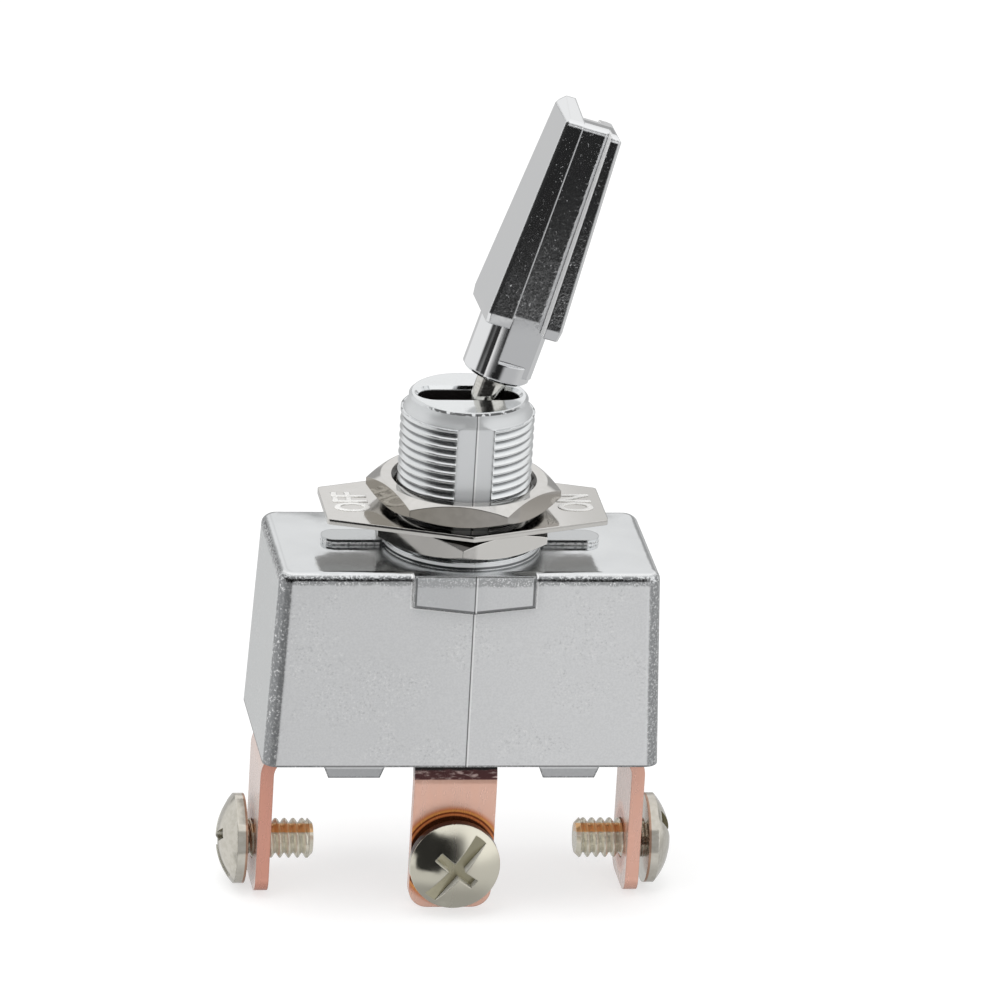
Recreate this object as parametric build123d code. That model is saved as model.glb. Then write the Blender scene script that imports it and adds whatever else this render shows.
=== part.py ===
from build123d import *
import math
import os

# Panel toggle switch: a cast paddle lever in a threaded bushing, on a cast housing with three screw terminals.
# Millimetres, +Z up along the bushing. The origin is on the bushing's axis, level with the housing's top face.
# The lever is drawn thrown to the right, towards +X. The front, with the middle terminal's screw, faces -Y.

# Cast housing
housing_length_top = 33.9
housing_width_top = 15.9
housing_length_bottom = 35.4
housing_width_bottom = 17.1
housing_height = 18.1
housing_wall = 1.5
housing_corner = 1.4
housing_top_edge = 0.9
boss_radius = 7.05
boss_height = 0.75
rail_length = 24.9
rail_width = 2.6
rail_height = 0.5
rail_offset = 0.4
pad_width = 10.9
pad_drop = 3.0
pad_point = 3.6
pad_proud = 0.45
pad_offset = 0.3
lug_offset = 9.6
lug_width = 5.4
lug_taper = 0.4
lug_thickness = 1.0
lug_reach = 2.6

# Threaded bushing, cast in one with the housing
thread_diameter = 11.9
thread_top = 12.6
collar_diameter = 11.4
collar_height = 0.8
rim_diameter = 10.6
rim_bevel = 0.25
bushing_top = 14.1
bushing_roof = 1.6
flat_width = 3.3
flat_distance = 5.5
slot_length = 9.0
slot_width = 3.1
slot_lip = 0.3
bore_radius = 4.0
bore_straight_to = 7.0
bore_mouth_radius = 5.2

# Nuts and legend plate on the bushing
nut_across_flats = 15.0
nut_height = 2.05
nut_bore_gap = 0.06
nut_chamfer = 0.72
nut_face_inset = 0.1
nut_countersink = 0.45
upper_nut_turn = -10.8
lower_nut_turn = 23.4
lower_nut_gap = 0.35
plate_length = 25.0
plate_width = 16.6
plate_corner = 0.4
plate_end_width = 7.8
plate_thickness = 0.5
plate_bore_gap = 0.15
upper_nut_gap = 0.5

# Lever: a steel rod with a hub and a hollow lower barrel, on a cross pin inside the bushing
lever_tilt = 16.6
pivot_height = 8.7
rod_diameter = 2.7
hub_diameter = 5.2
barrel_diameter = 3.8
barrel_bore = 2.5
barrel_roof = 4.2
pin_diameter = 1.6
pin_gap = 0.03
pin_groove_depth = 0.8
pin_end_gap = 0.1

# Cast paddle handle, in the lever's own frame: height is measured from the pivot along the lever
handle_twist = 2.0
neck_start = 7.6
neck_ring_height = 1.85
neck_ring_bevel = 0.3
neck_diameter = 6.1
neck_panel = 2.5
neck_panel_left = 0.8
neck_panel_right = 2.2
neck_side = 2.7
paddle_start = 13.9
paddle_end = 33.0
paddle_width_low = 6.95
paddle_width_high = 5.3
paddle_depth_low = 7.6
paddle_depth_high = 5.6
flange_left_low = 2.28
flange_left_high = 1.65
flange_right_low = 1.55
flange_right_high = 1.0
channel_front_low = 1.3
channel_front_high = 1.05
channel_back_low = 1.4
channel_back_high = 1.9
paddle_edge = 0.25
paddle_foot = 0.9
paddle_foot_inset = 0.1
top_bevel_left = 0.75
top_bevel_right = 0.45
top_round = 0.5
top_slope = 4.5
web_step = 0.75
web_ridge = 1.35
web_slope = 10.0
handle_socket = 5.5

# Spring plunger in the barrel: lift is how far the middle of its domed tip stays above the rocker's pivot
plunger_gap = 0.03
plunger_lift = 0.35
plunger_nose = 4.0
plunger_length = 6.5
spring_wire = 0.35
spring_gap = 0.1
spring_seat_gap = 0.02
spring_turns = 7

# Insulating base and liner
base_thickness = 2.6
base_gap = 0.05
liner_thickness = 0.3
liner_gap = 0.05
liner_top_gap = 0.5

# Terminals: each tab's face is its distance from the bushing's axis
tab_thickness = 1.2
tab_bend = 1.6
tab_corner = 1.7
side_tab_inset = 0.4
side_tab_width = 7.8
side_tab_drop = 14.4
side_foot_end = 3.2
middle_tab_face = 5.7
middle_tab_width = 7.4
middle_tab_drop = 14.7
middle_foot_end = 3.4

# Rivets: the side ones carry the fixed contacts
side_rivet_inset = 7.2
rivet_diameter = 2.4
rivet_head_diameter = 4.6
contact_height = 1.0
middle_rivet_head = 0.45
rivet_tail_diameter = 4.0
rivet_tail_height = 0.8

# Terminal screws
side_screw_drop = 10.4
middle_screw_drop = 9.8
screw_diameter = 3.6
screw_hole_gap = 0.03
screw_length = 6.2
screw_tip = 0.4
screw_head_diameter = 8.1
screw_head_height = 2.4
screw_head_rim = 0.9
side_screw_gap = 0.8
middle_screw_gap = 1.3
screw_slot_width = 1.2
screw_slot_depth = 1.1
screw_cross_width = 0.9
screw_cross_length = 4.2
middle_screw_turn = 52.0
side_screw_turn = 35.0

# Rocker and its bracket: the rocker turns on two wings in the bracket's notches
rocker_height = 4.25
rocker_throw = 4.15
rocker_sheet = 0.9
rocker_width = 4.4
rocker_bend = 0.5
cradle_depth = 1.8
cradle_half = 6.6
cradle_rise = 19.5
arm_end = 1.6
arm_step = 1.7
wing_diameter = 1.2
wing_gap = 0.03
wing_end = 0.3
wing_hanger = 2.2
bracket_sheet = 0.8
bracket_gap = 0.25
bracket_length = 6.0
ear_top_width = 3.0
button_diameter = 3.2
button_rim = 0.4
button_dome = 0.4
contact_rest_gap = 0.12

# Places that follow from the sizes
housing_bottom = -housing_height
base_top = housing_bottom + base_thickness
lever_place = Pos(0, 0, pivot_height) * Rot(0, lever_tilt, 0)
thread_radius = thread_diameter / 2
nut_hole = thread_radius + nut_bore_gap
lower_nut_base = boss_height + lower_nut_gap
plate_base = lower_nut_base + nut_height
upper_nut_base = plate_base + plate_thickness + upper_nut_gap
side_tab_face = housing_length_bottom / 2 - side_tab_inset
side_rivet_offset = housing_length_bottom / 2 - side_rivet_inset
rocker_pivot = base_top + rocker_height
plunger_reach = pivot_height - rocker_pivot - plunger_lift
barrel_end = plunger_reach - plunger_nose
rocker_place = Pos(0, 0, rocker_pivot) * Rot(0, -rocker_throw, 0)
arm_half = side_rivet_offset + arm_end
contact_drop = rocker_height - contact_height - contact_rest_gap
contact_swing = side_rivet_offset * math.sin(math.radians(rocker_throw))
button_height = button_rim + button_dome
arm_level = button_height - (contact_drop - contact_swing) / math.cos(math.radians(rocker_throw))


def share(low, high, height):
    """A paddle size at a height along the lever, on the straight taper between its two ends."""
    return low + (high - low) * (height - paddle_start) / (paddle_end - paddle_start)


def tapered_block(length_top, width_top, length_bottom, width_bottom, top, bottom, corner):
    """A block with rounded upright corners that widens towards its open foot."""
    high = Plane.XY.offset(top) * RectangleRounded(length_top, width_top, corner)
    low = Plane.XY.offset(bottom) * RectangleRounded(length_bottom, width_bottom, corner)
    return loft([low, high])


def wall_at(height):
    """Half length and half width of the housing's outside at a height."""
    part = -height / housing_height
    half_length = (housing_length_top + (housing_length_bottom - housing_length_top) * part) / 2
    half_width = (housing_width_top + (housing_width_bottom - housing_width_top) * part) / 2
    return half_length, half_width


def housing_pad():
    """The low shield at the top of the front wall, following its draft."""
    draft = math.atan2((housing_width_bottom - housing_width_top) / 2, housing_height)
    outline = Polyline(
        (-pad_width / 2, 0), (pad_width / 2, 0), (pad_width / 2, -pad_drop),
        (0, -pad_point), (-pad_width / 2, -pad_drop), close=True,
    )
    face = make_face(outline)
    front = Plane(origin=(pad_offset, -housing_width_top / 2, 0), x_dir=(1, 0, 0),
                  z_dir=(0, -math.cos(draft), math.sin(draft)))
    shield = extrude(front * face, amount=pad_proud)
    back = extrude(front * face, amount=-housing_wall / 2)
    return shield + back


def housing_cavity():
    """The room inside: a ceiling under the top wall, and a wider pocket at the foot for the base."""
    ceiling = -housing_wall
    top_length, top_width = wall_at(ceiling)
    foot_length, foot_width = wall_at(housing_bottom)
    return tapered_block(
        2 * (top_length - housing_wall), 2 * (top_width - housing_wall),
        2 * (foot_length - housing_wall), 2 * (foot_width - housing_wall),
        ceiling, housing_bottom, housing_corner / 2,
    )


def bushing():
    """The bushing as a turned profile: boss, thread cylinder, plain collar and chamfered rim."""
    rim_radius = rim_diameter / 2
    profile = Polyline(
        (0, -housing_wall / 2), (boss_radius, -housing_wall / 2), (boss_radius, boss_height),
        (thread_radius, boss_height), (thread_radius, thread_top), (collar_diameter / 2, thread_top),
        (rim_radius, thread_top + collar_height), (rim_radius, bushing_top - rim_bevel),
        (rim_radius - rim_bevel, bushing_top), (0, bushing_top), close=True,
    )
    turned = revolve(Plane.XZ * make_face(profile), Axis.Z)
    flat_height = bushing_top - boss_height
    for side in (-1, 1):
        turned -= Pos(0, side * (flat_distance + thread_radius / 2), boss_height + flat_height / 2) * Box(
            flat_width, thread_radius, flat_height)
    return turned


def bushing_bore():
    """The room for the lever: a straight bore, a flared mouth below it and grooves for the cross pin."""
    roof = bushing_top - bushing_roof
    profile = Polyline(
        (0, -housing_wall - 0.1), (bore_mouth_radius, -housing_wall - 0.1), (bore_mouth_radius, -housing_wall),
        (bore_radius, bore_straight_to), (bore_radius, roof), (0, roof), close=True,
    )
    bore = revolve(Plane.XZ * make_face(profile), Axis.Z)
    groove_length = 2 * (bore_radius + pin_groove_depth)
    groove_height = pivot_height + housing_wall
    groove = Pos(0, 0, (pivot_height - housing_wall) / 2) * Box(pin_diameter, groove_length, groove_height)
    groove_end = Pos(0, 0, pivot_height) * Rot(90, 0, 0) * Cylinder(pin_diameter / 2, groove_length)
    slot = Pos(0, 0, roof) * extrude(SlotOverall(slot_length, slot_width), amount=bushing_roof)
    lip = loft([
        Plane.XY.offset(bushing_top - slot_lip) * SlotOverall(slot_length, slot_width),
        Plane.XY.offset(bushing_top) * SlotOverall(slot_length + 2 * slot_lip, slot_width + 2 * slot_lip),
    ])
    return bore + groove + groove_end + slot + lip


def housing():
    shell = tapered_block(
        housing_length_top, housing_width_top, housing_length_bottom, housing_width_bottom,
        0, housing_bottom, housing_corner,
    )
    shell = fillet(shell.edges().group_by(Axis.Z)[-1], housing_top_edge)
    shell += housing_pad()
    shell += Pos(0, rail_offset, 0) * extrude(SlotOverall(rail_length, rail_width), amount=rail_height)
    shell += bushing()
    shell -= housing_cavity()
    shell -= bushing_bore()
    half_width = wall_at(housing_bottom)[1]
    for side in (-1, 1):
        for end in (-1, 1):
            shell += Pos(end * lug_offset, side * (half_width - lug_reach / 2), housing_bottom) * lug()
    return shell


def lug():
    """One of the four short feet that are clenched under the housing: a bar with slanted ends."""
    half = lug_width / 2
    outline = Polyline(
        (-half, 0), (half, 0), (half - lug_taper, -lug_thickness), (-half + lug_taper, -lug_thickness), close=True)
    return extrude(Plane.XZ * make_face(outline), amount=lug_reach / 2, both=True)


def hex_nut(base, turn):
    """A thin hexagon nut with both faces chamfered at the corners and a countersunk hole."""
    hexagon = RegularPolygon(nut_across_flats / 2, 6, major_radius=False, rotation=turn)
    body = Pos(0, 0, base) * extrude(hexagon, amount=nut_height)
    corner_radius = nut_across_flats / math.sqrt(3)
    face_radius = nut_across_flats / 2 - nut_face_inset
    top = base + nut_height
    cone = Polyline(
        (0, base), (face_radius, base), (corner_radius, base + nut_chamfer),
        (corner_radius, top - nut_chamfer), (face_radius, top), (0, top), close=True,
    )
    body &= revolve(Plane.XZ * make_face(cone), Axis.Z)
    hole = Polyline(
        (0, base), (nut_hole + nut_countersink, base), (nut_hole, base + nut_countersink),
        (nut_hole, top - nut_countersink), (nut_hole + nut_countersink, top), (0, top), close=True,
    )
    return body - revolve(Plane.XZ * make_face(hole), Axis.Z)


def legend_plate():
    """A flat sheet plate that widens from its two square ends to the middle."""
    half = plate_length / 2
    outline = Polyline(
        (-half, -plate_end_width / 2), (0, -plate_width / 2), (half, -plate_end_width / 2),
        (half, plate_end_width / 2), (0, plate_width / 2), (-half, plate_end_width / 2), close=True,
    )
    sheet = make_face(outline)
    sheet = fillet(sheet.vertices(), plate_corner)
    sheet -= Circle(thread_radius + plate_bore_gap)
    return Pos(0, 0, plate_base) * extrude(sheet, amount=plate_thickness)


def lever_rod():
    """One turned piece: the rod in the handle, the pivot hub and the hollow barrel below it."""
    rod_top = neck_start + handle_socket
    rod = Pos(0, 0, rod_top / 2) * Cylinder(rod_diameter / 2, rod_top)
    hub = Sphere(hub_diameter / 2)
    barrel = Pos(0, 0, -barrel_end / 2) * Cylinder(barrel_diameter / 2, barrel_end)
    bore_depth = barrel_end - barrel_roof
    bore = Pos(0, 0, -barrel_roof - bore_depth / 2) * Cylinder(barrel_bore / 2, bore_depth)
    cross = Rot(90, 0, 0) * Cylinder(pin_diameter / 2 + pin_gap, hub_diameter * 2)
    return lever_place * (rod + hub + barrel - bore - cross)


def pivot_pin():
    length = 2 * (bore_radius + pin_groove_depth - pin_end_gap)
    return Pos(0, 0, pivot_height) * Rot(90, 0, 0) * Cylinder(pin_diameter / 2, length)


def paddle_section(height):
    """The handle's H section at a height, with a shallow channel in front and a deeper one behind."""
    half_width = share(paddle_width_low, paddle_width_high, height) / 2
    half_depth = share(paddle_depth_low, paddle_depth_high, height) / 2
    left = -half_width + share(flange_left_low, flange_left_high, height)
    right = half_width - share(flange_right_low, flange_right_high, height)
    front = -half_depth + share(channel_front_low, channel_front_high, height)
    back = half_depth - share(channel_back_low, channel_back_high, height)
    return h_outline(half_width, half_depth, left, right, front, back)


def h_outline(half_width, half_depth, left, right, front, back):
    """A flat H with small bevels on its four outer corners."""
    edge = paddle_edge
    outline = Polyline(
        (-half_width + edge, -half_depth), (left, -half_depth), (left, front), (right, front),
        (right, -half_depth), (half_width - edge, -half_depth), (half_width, -half_depth + edge),
        (half_width, half_depth - edge), (half_width - edge, half_depth), (right, half_depth),
        (right, back), (left, back), (left, half_depth), (-half_width + edge, half_depth),
        (-half_width, half_depth - edge), (-half_width, -half_depth + edge), close=True,
    )
    return make_face(outline)


def paddle():
    """The tapered paddle: short upright feet, a rounded top that is higher on the left, and bevelled sides."""
    low = Plane.XY.offset(paddle_start) * paddle_section(paddle_start)
    high = Plane.XY.offset(paddle_end) * paddle_section(paddle_end)
    foot = Plane.XY.offset(paddle_start - paddle_foot) * paddle_foot_section()
    blade = loft([low, high]) + loft([foot, low])
    half_width = paddle_width_high / 2
    half_depth = paddle_depth_high / 2
    left = -half_width + flange_left_high
    right = half_width - flange_right_high
    ridge = paddle_end - web_step
    left_front = paddle_end - (paddle_depth_high - top_round) * math.tan(math.radians(top_slope))
    ridge_end = -half_depth + channel_front_high + web_ridge
    ridge_back = ridge - (half_depth - ridge_end) * math.tan(math.radians(web_slope))
    slope = [(ridge_end, ridge), (half_depth, ridge_back)]
    blade -= above(-paddle_width_low, left, -half_depth, left_front, [(half_depth, paddle_end)])
    blade -= above(left, right, -half_depth + channel_front_high, ridge, slope)
    blade -= above(right, paddle_width_low, -half_depth, ridge, slope)
    for side, bevel, top in ((-1, top_bevel_left, paddle_end), (1, top_bevel_right, ridge)):
        outline = Polyline(
            (side * half_width, top - bevel), (side * (half_width - bevel), top), (side * half_width, top + bevel),
            (side * paddle_width_low, top + bevel), (side * paddle_width_low, top - bevel), close=True,
        )
        blade -= extrude(Plane.XZ * make_face(outline), amount=paddle_depth_low, both=True)
    return blade


def above(start, end, front, top, back_points):
    """What is taken off above one stretch of the paddle's width, down to a rounded front edge and a top."""
    reach = paddle_depth_low
    low = top - top_round
    inward = top_round * math.sin(math.radians(45))
    nose = ThreePointArc(
        (front, low), (front + top_round - inward, low + inward), (front + top_round, top))
    last = back_points[-1][1]
    rest = Polyline(
        (front + top_round, top), *back_points, (reach, last), (reach, top + reach), (-reach, top + reach),
        (-reach, low), (front, low),
    )
    return Pos(start, 0, 0) * extrude(Plane.YZ * make_face([nose, rest]), amount=end - start)


def paddle_foot_section():
    """The section at the tip of the feet, drawn in a little all round."""
    half_width = paddle_width_low / 2
    half_depth = paddle_depth_low / 2
    return h_outline(
        half_width - paddle_foot_inset, half_depth - paddle_foot_inset,
        -half_width + flange_left_low, half_width - flange_right_low,
        -half_depth + channel_front_low, half_depth - channel_back_low,
    )


def neck_section():
    """The neck: round on the left, with a panel let into its front and a bevelled right side."""
    bevel = neck_side - neck_panel_right
    outline = Polyline(
        (-neck_panel_left, -neck_panel), (neck_panel_right, -neck_panel), (neck_side, -neck_panel + bevel),
        (neck_side, neck_panel - bevel), (neck_panel_right, neck_panel), (-neck_panel_left, neck_panel),
        close=True,
    )
    panel_side = neck_side + neck_panel_left
    front = Pos(panel_side / 2 - neck_panel_left, -neck_panel - neck_diameter / 2) * Rectangle(
        panel_side, neck_diameter)
    return Circle(neck_diameter / 2) + make_face(outline) - front


def handle():
    """The cast handle: a round ring and a faceted neck under the paddle, pressed on the rod."""
    neck_height = paddle_start - neck_start
    ring = Pos(0, 0, neck_start + neck_ring_height / 2) * Cylinder(neck_diameter / 2, neck_ring_height)
    ring = chamfer(ring.edges().sort_by(Axis.Z)[0], neck_ring_bevel)
    neck_base = neck_start + neck_ring_height / 2
    neck = extrude(Plane.XY.offset(neck_base) * neck_section(), amount=neck_start + neck_height - neck_base)
    socket = Pos(0, 0, neck_start + handle_socket / 2) * Cylinder(rod_diameter / 2, handle_socket)
    body = ring + neck + paddle() - socket
    return lever_place * Rot(0, 0, handle_twist) * body


def plunger():
    """A round pin with a domed tip that the spring pushes down out of the barrel."""
    radius = barrel_bore / 2 - plunger_gap
    shank = Pos(0, 0, -plunger_reach + plunger_length / 2) * Cylinder(radius, plunger_length)
    tip = Pos(0, 0, -plunger_reach) * Sphere(radius)
    return lever_place * (shank + tip)


def plunger_spring():
    """An open coil between the barrel's roof and the plunger's top."""
    top = -barrel_roof
    bottom = -plunger_reach + plunger_length
    coil_radius = barrel_bore / 2 - spring_gap - spring_wire / 2
    height = top - bottom - spring_wire - 2 * spring_seat_gap
    path = Helix(height / spring_turns, height, coil_radius)
    start = path @ 0
    wire = Plane(origin=start, z_dir=path % 0) * Circle(spring_wire / 2)
    coil = sweep(wire, path=path)
    return lever_place * Pos(0, 0, bottom + spring_wire / 2 + spring_seat_gap) * coil


def insulating_base():
    """The moulded plate that closes the housing's foot and carries the terminals."""
    half_length, half_width = wall_at(housing_bottom)
    top_half_length, top_half_width = wall_at(base_top)
    inset = housing_wall + base_gap
    plate = tapered_block(
        2 * (top_half_length - inset), 2 * (top_half_width - inset),
        2 * (half_length - inset), 2 * (half_width - inset), base_top, housing_bottom, housing_corner / 2,
    )
    for x in (-side_rivet_offset, 0, side_rivet_offset):
        plate -= Pos(x, 0, housing_bottom + base_thickness / 2) * Cylinder(
            rivet_diameter / 2, base_thickness)
    return plate


def insulating_liner():
    """A thin fish-paper sleeve along the inside of the walls, standing on the base."""
    top = -housing_wall - liner_top_gap
    top_half_length, top_half_width = wall_at(top)
    foot_half_length, foot_half_width = wall_at(base_top)
    blocks = []
    for inset in (housing_wall + liner_gap, housing_wall + liner_gap + liner_thickness):
        blocks.append(tapered_block(
            2 * (top_half_length - inset), 2 * (top_half_width - inset),
            2 * (foot_half_length - inset), 2 * (foot_half_width - inset), top, base_top, housing_corner / 2,
        ))
    return blocks[0] - blocks[1]


def terminal(face, width, drop, foot, rivet, screw_drop):
    """An L of sheet copper facing -Y: a foot riveted under the base and a rounded tab with a tapped hole."""
    lower = housing_bottom - tab_thickness
    end = housing_bottom - drop
    outline = Polyline(
        (-face, housing_bottom), (foot, housing_bottom), (foot, lower), (-face + tab_thickness, lower),
        (-face + tab_thickness, end), (-face, end), close=True,
    )
    profile = make_face(outline)
    outer_corner = profile.vertices().sort_by_distance((-face, housing_bottom))[0]
    profile = fillet(outer_corner, tab_bend + tab_thickness)
    inner_corner = profile.vertices().sort_by_distance((-face + tab_thickness, lower))[0]
    profile = fillet(inner_corner, tab_bend)
    strip = extrude(Plane.YZ * profile, amount=width / 2, both=True)
    blank = Pos(0, housing_bottom - drop / 2) * Rectangle(width, drop)
    blank = fillet(blank.vertices().group_by(Axis.Y)[0], tab_corner)
    blank -= Pos(0, housing_bottom - screw_drop) * Circle(screw_diameter / 2 + screw_hole_gap)
    strip &= extrude(Plane.XZ * blank, amount=2 * housing_length_top, both=True)
    hole = Pos(0, rivet, housing_bottom - tab_thickness / 2) * Cylinder(rivet_diameter / 2, tab_thickness)
    return strip - hole


def left_terminal():
    foot = side_rivet_offset - side_foot_end
    left = terminal(
        side_tab_face, side_tab_width, side_tab_drop, -foot, -side_rivet_offset, side_screw_drop)
    return Rot(0, 0, -90) * left


def right_terminal():
    return Rot(0, 0, 180) * left_terminal()


def middle_terminal():
    return terminal(middle_tab_face, middle_tab_width, middle_tab_drop, middle_foot_end, 0, middle_screw_drop)


def screw(turn):
    """A 6-32 style screw with a domed head: a full slot, a short cross slot and a bevelled tip."""
    head_radius = screw_head_diameter / 2
    radius = screw_diameter / 2
    side = Line((head_radius, 0), (head_radius, screw_head_rim))
    dome = ThreePointArc(
        (head_radius, screw_head_rim),
        (head_radius * 0.6, screw_head_rim + (screw_head_height - screw_head_rim) * 0.68),
        (0, screw_head_height),
    )
    rest = Polyline(
        (0, screw_head_height), (0, -screw_length), (radius - screw_tip, -screw_length),
        (radius, -screw_length + screw_tip), (radius, 0), (head_radius, 0),
    )
    body = revolve(Plane.XZ * make_face([side, dome, rest]), Axis.Z)
    slot_height = screw_head_height - screw_slot_depth / 2
    slot = Pos(0, 0, slot_height + 0.1) * Box(screw_head_diameter * 1.1, screw_slot_width, screw_slot_depth + 0.2)
    cross = Pos(0, 0, slot_height + 0.1) * Box(screw_cross_width, screw_cross_length, screw_slot_depth + 0.2)
    return Rot(0, 0, turn) * (body - slot - cross)


def left_screw():
    seat = Pos(-side_tab_face - side_screw_gap, 0, housing_bottom - side_screw_drop)
    return seat * Rot(0, -90, 0) * screw(side_screw_turn)


def right_screw():
    return Rot(0, 0, 180) * left_screw()


def middle_screw():
    seat = Pos(0, -middle_tab_face - middle_screw_gap, housing_bottom - middle_screw_drop)
    return seat * Rot(90, 0, 0) * screw(middle_screw_turn)


def rivet(x, grip_top, head_height):
    """A solid rivet from a flat head above to a formed tail under the terminal's foot."""
    tail_top = housing_bottom - tab_thickness
    shank_length = grip_top - tail_top
    head = Pos(x, 0, grip_top + head_height / 2) * Cylinder(rivet_head_diameter / 2, head_height)
    shank = Pos(x, 0, (grip_top + tail_top) / 2) * Cylinder(rivet_diameter / 2, shank_length)
    tail = Pos(x, 0, tail_top - rivet_tail_height / 2) * Cylinder(rivet_tail_diameter / 2, rivet_tail_height)
    tail = fillet(tail.edges().sort_by(Axis.Z)[:1], rivet_tail_height / 2)
    return head + shank + tail


def bracket():
    """A folded brass U under the rocker, with a notch at the top of each ear."""
    inner = rocker_width / 2 + bracket_gap
    outer = inner + bracket_sheet
    floor_plate = Pos(0, 0, base_top + bracket_sheet / 2) * Box(bracket_length, 2 * outer, bracket_sheet)
    ear_top = rocker_pivot + wing_diameter / 4
    outline = Polyline(
        (-bracket_length / 2, base_top), (bracket_length / 2, base_top), (ear_top_width / 2, ear_top),
        (-ear_top_width / 2, ear_top), close=True,
    )
    ear = make_face(outline) - Pos(0, rocker_pivot) * Circle(wing_diameter / 2 + wing_gap)
    ear -= Pos(0, rocker_pivot + wing_diameter / 2) * Rectangle(wing_diameter + 2 * wing_gap, wing_diameter)
    ears = extrude(Plane.XZ.offset(inner) * ear, amount=bracket_sheet)
    ears += mirror(ears, Plane.XZ)
    hole = Pos(0, 0, base_top + bracket_sheet / 2) * Cylinder(rivet_diameter / 2, bracket_sheet)
    return floor_plate + ears - hole


def rocker():
    """A formed copper strip: a shallow cradle for the plunger, two contact arms and two pivot wings."""
    half = rocker_sheet / 2
    peak = -cradle_depth + cradle_half * math.tan(math.radians(cradle_rise))
    outer = cradle_half + arm_step
    points = [
        (-arm_half, arm_level + half), (-outer, arm_level + half), (-cradle_half, peak - half),
        (0, -cradle_depth - half),
        (cradle_half, peak - half), (outer, arm_level + half), (arm_half, arm_level + half),
    ]
    strip = trace(FilletPolyline(*points, radius=rocker_bend), rocker_sheet)
    body = extrude(Plane.XZ * strip, amount=rocker_width / 2, both=True)
    wing_length = bracket_gap + bracket_sheet + wing_end + rocker_sheet
    hanger_height = cradle_depth + half + wing_diameter / 2
    for side in (-1, 1):
        wing_middle = side * (rocker_width / 2 - rocker_sheet + wing_length / 2)
        body += Pos(0, wing_middle, 0) * Rot(90, 0, 0) * Cylinder(wing_diameter / 2, wing_length)
        hanger_middle = side * (rocker_width - rocker_sheet) / 2
        body += Pos(0, hanger_middle, (wing_diameter / 2 - cradle_depth - half) / 2) * Box(
            wing_hanger, rocker_sheet, hanger_height)
    return rocker_place * body


def moving_contact(side):
    """A domed button riveted under the end of one rocker arm."""
    radius = button_diameter / 2
    profile = Polyline(
        (0, 0), (radius, 0), (radius, -button_rim), (radius / 2, -button_height), (0, -button_height), close=True)
    button = revolve(Plane.XZ * make_face(profile), Axis.Z)
    return rocker_place * Pos(side * side_rivet_offset, 0, arm_level) * button


def main():
    os.makedirs("parts", exist_ok=True)
    pieces = {
        "housing": housing(),
        "upper_nut": hex_nut(upper_nut_base, upper_nut_turn),
        "lower_nut": hex_nut(lower_nut_base, lower_nut_turn),
        "legend_plate": legend_plate(),
        "lever_rod": lever_rod(),
        "pivot_pin": pivot_pin(),
        "handle": handle(),
        "plunger": plunger(),
        "plunger_spring": plunger_spring(),
        "insulating_base": insulating_base(),
        "insulating_liner": insulating_liner(),
        "left_terminal": left_terminal(),
        "middle_terminal": middle_terminal(),
        "right_terminal": right_terminal(),
        "left_screw": left_screw(),
        "middle_screw": middle_screw(),
        "right_screw": right_screw(),
        "left_contact_rivet": rivet(-side_rivet_offset, base_top, contact_height),
        "right_contact_rivet": rivet(side_rivet_offset, base_top, contact_height),
        "middle_rivet": rivet(0, base_top + bracket_sheet, middle_rivet_head),
        "rocker_bracket": bracket(),
        "rocker": rocker(),
        "left_moving_contact": moving_contact(-1),
        "right_moving_contact": moving_contact(1),
    }
    for name, piece in pieces.items():
        export_step(piece, f"parts/{name}.step")


main()
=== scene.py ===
import math

import bmesh
import bpy
from mathutils import Matrix, Vector

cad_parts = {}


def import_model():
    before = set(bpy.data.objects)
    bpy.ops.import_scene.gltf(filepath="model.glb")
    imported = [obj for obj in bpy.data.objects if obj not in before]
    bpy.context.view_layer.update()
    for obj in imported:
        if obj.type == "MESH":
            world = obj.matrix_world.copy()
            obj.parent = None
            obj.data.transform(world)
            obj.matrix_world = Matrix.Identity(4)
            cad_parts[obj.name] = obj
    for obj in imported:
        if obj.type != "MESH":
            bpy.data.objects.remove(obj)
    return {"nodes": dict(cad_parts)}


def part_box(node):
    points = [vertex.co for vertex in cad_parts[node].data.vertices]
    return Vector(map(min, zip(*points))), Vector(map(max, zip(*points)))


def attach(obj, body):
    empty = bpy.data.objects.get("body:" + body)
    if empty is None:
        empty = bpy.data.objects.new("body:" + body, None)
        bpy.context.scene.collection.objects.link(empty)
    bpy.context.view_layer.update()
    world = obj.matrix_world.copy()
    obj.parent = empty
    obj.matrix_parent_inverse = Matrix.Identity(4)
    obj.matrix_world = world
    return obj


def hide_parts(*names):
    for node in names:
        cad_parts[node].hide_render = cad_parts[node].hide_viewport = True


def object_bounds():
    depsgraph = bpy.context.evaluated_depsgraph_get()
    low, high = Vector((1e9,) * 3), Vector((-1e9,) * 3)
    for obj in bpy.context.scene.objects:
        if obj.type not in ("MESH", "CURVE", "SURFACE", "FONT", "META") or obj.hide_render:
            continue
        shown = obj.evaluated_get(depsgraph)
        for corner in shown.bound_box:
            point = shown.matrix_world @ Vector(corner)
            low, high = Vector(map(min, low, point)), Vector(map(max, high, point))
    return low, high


MM = 0.001
WHITE = (1.0, 1.0, 1.0, 1.0)

# Places on the part in millimetres, the same as in its CAD source
THREAD_PITCH = 0.794
THREAD_RADIUS = 5.95
THREAD_TOP = 12.6
BOSS_RADIUS = 7.05
BOSS_TOP = 0.75
HOUSING_FOOT = -18.1
PIVOT_HEIGHT = 8.7
SIDE_SCREW_SEAT = 18.1
SIDE_SCREW_HEIGHT = -28.5
MIDDLE_SCREW_SEAT = 7.0
MIDDLE_SCREW_HEIGHT = -27.9

# The lever's lean from upright
LEVER_TILT = math.radians(16.6)

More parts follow.
